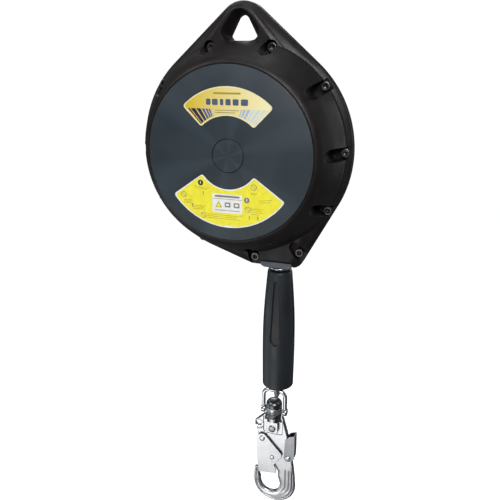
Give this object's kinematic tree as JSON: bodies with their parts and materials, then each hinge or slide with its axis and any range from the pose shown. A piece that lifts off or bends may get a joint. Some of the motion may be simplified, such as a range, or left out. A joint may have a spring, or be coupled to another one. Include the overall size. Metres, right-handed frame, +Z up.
{
  "type": "self retracting lifeline",
  "caption": "Two-shell fall-arrest block with an anchor eye, sprung rope drum and pawl brake, a hand grip on the rope's end and a swivel snap hook with a locking lever.",
  "frame": {"origin": "bearing point at the top of the anchor eye, in the parting plane", "axes": "+Z up towards the anchorage, -Y towards the label side, +X towards the rope's exit"},
  "size_m": [0.244, 0.1067, 0.6256],
  "materials": {
    "housing_plastic": "fine moulded grain, warm black",
    "slate_plastic": "fine moulded grain, blue-black",
    "label_print": "printed film, yellow",
    "screw_steel": "black oxide",
    "zinc_steel": "zinc plated",
    "spring_steel": "blued strip",
    "friction_lining": "pressed lining",
    "drum_alloy": "as cast",
    "bronze": "sintered",
    "wire_rope": "galvanised strands, lightly greased",
    "bright_steel": "polished",
    "dark_steel": "dark oxide",
    "grip_rubber": "satin black",
    "hook_plating": "satin silver plating"
  },
  "bodies": {
    "housing": {"front_shell": "housing_plastic", "rear_shell": "housing_plastic", "hub_cap_front": "slate_plastic", "hub_cap_rear": "slate_plastic", "upper_label": "label_print", "lower_label": "label_print", "housing_screw_01": "screw_steel", "housing_screw_02": "screw_steel", "housing_screw_03": "screw_steel", "housing_screw_04": "screw_steel", "housing_screw_05": "screw_steel", "housing_screw_06": "screw_steel", "housing_screw_07": "screw_steel", "housing_screw_08": "screw_steel", "housing_screw_09": "screw_steel", "housing_screw_10": "screw_steel", "housing_screw_11": "screw_steel", "frame_plate_front": "zinc_steel", "frame_plate_rear": "zinc_steel", "frame_spacer_left": "zinc_steel", "frame_spacer_right": "zinc_steel", "main_shaft": "zinc_steel", "shaft_circlip": "spring_steel", "rope_guide_block": "slate_plastic", "rope_guide_bush": "bright_steel", "spring_case": "zinc_steel", "spring_case_cover": "zinc_steel", "power_spring": "spring_steel", "friction_disc_front": "friction_lining", "friction_disc_rear": "friction_lining", "brake_backing_plate": "zinc_steel", "brake_pressure_plate": "zinc_steel"},
    "brake_ring": {"ratchet_ring": "zinc_steel"},
    "drum": {"drum_spool": "drum_alloy", "drum_front_flange": "zinc_steel", "drum_bush_front": "bronze", "drum_bush_rear": "bronze", "wound_rope": "wire_rope", "spring_arbor": "zinc_steel"},
    "pawl_1": {"pawl_1": "zinc_steel"},
    "pawl_2": {"pawl_2": "zinc_steel"},
    "pawl_3": {"pawl_3": "zinc_steel"},
    "line_end": {"wire_rope_lead": "wire_rope", "rope_eye": "wire_rope", "swage_ferrule": "zinc_steel", "thimble": "bright_steel"},
    "grip": {"grip_body": "grip_rubber"},
    "bow": {"bow": "bright_steel", "bow_pin_left": "dark_steel", "bow_pin_right": "dark_steel"},
    "swivel_head": {"swivel_barrel": "dark_steel", "swivel_collar": "dark_steel"},
    "hook": {"swivel_clevis": "dark_steel", "clevis_rivet": "bright_steel", "hook_body": "hook_plating", "gate_rivet": "bright_steel", "lever_rivet": "bright_steel"},
    "gate": {"gate": "hook_plating", "gate_lock_pin": "bright_steel"},
    "lever": {"lock_lever": "hook_plating"}
  },
  "joints": [
    {"name": "payout", "type": "slide", "parent": "housing", "child": "line_end", "axis": [0, 0, -1], "range_m": [0, 0.54978], "stiffness_N_per_m": 12, "springref_m": -2.5, "deforming": ["wire_rope_lead"]},
    {"name": "drum_spin", "type": "hinge", "parent": "housing", "child": "drum", "pos_m": [0, 0, -0.1382], "axis": [0, 1, 0], "range_deg": [0, 721]},
    {"name": "brake_slip", "type": "hinge", "parent": "housing", "child": "brake_ring", "pos_m": [0, -0.034, -0.1382], "axis": [0, 1, 0], "range_deg": [0, 720]},
    {"name": "pawl_1_swing", "type": "hinge", "parent": "drum", "child": "pawl_1", "pos_m": [0, -0.0337, -0.1002], "axis": [0, -1, 0], "range_deg": [0, 22], "stiffness_Nm_per_rad": 0.02, "springref_deg": -34.38},
    {"name": "pawl_2_swing", "type": "hinge", "parent": "drum", "child": "pawl_2", "pos_m": [-0.03291, -0.0337, -0.1572], "axis": [0, -1, 0], "range_deg": [0, 22], "stiffness_Nm_per_rad": 0.02, "springref_deg": -34.38},
    {"name": "pawl_3_swing", "type": "hinge", "parent": "drum", "child": "pawl_3", "pos_m": [0.03291, -0.0337, -0.1572], "axis": [0, -1, 0], "range_deg": [0, 22], "stiffness_Nm_per_rad": 0.02, "springref_deg": -34.38},
    {"name": "grip_turn", "type": "hinge", "parent": "line_end", "child": "grip", "pos_m": [0.04375, 0, -0.3382], "axis": [0, 0, 1], "continuous": true},
    {"name": "bow_swing", "type": "hinge", "parent": "line_end", "child": "bow", "pos_m": [0.0396, 0, -0.4409], "axis": [1, 0, 0], "range_deg": [-35, 35]},
    {"name": "head_swing", "type": "hinge", "parent": "bow", "child": "swivel_head", "pos_m": [0.0396, 0, -0.4702], "axis": [1, 0, 0], "range_deg": [-45, 45]},
    {"name": "swivel_turn", "type": "hinge", "parent": "swivel_head", "child": "hook", "pos_m": [0.0396, 0, -0.4762], "axis": [0, 0, 1], "continuous": true},
    {"name": "gate_open", "type": "hinge", "parent": "hook", "child": "gate", "pos_m": [0.026, 0, -0.512], "axis": [0, -1, 0], "range_deg": [0, 22], "stiffness_Nm_per_rad": 0.4, "springref_deg": -28.65},
    {"name": "lever_press", "type": "hinge", "parent": "hook", "child": "lever", "pos_m": [0.0604, 0, -0.5362], "axis": [0, -1, 0], "range_deg": [0, 12], "stiffness_Nm_per_rad": 0.4, "springref_deg": -28.65}
  ],
  "couplings": [
    {"joint": "drum_spin", "follows": "payout", "rad_per_m": 22.857}
  ]
}
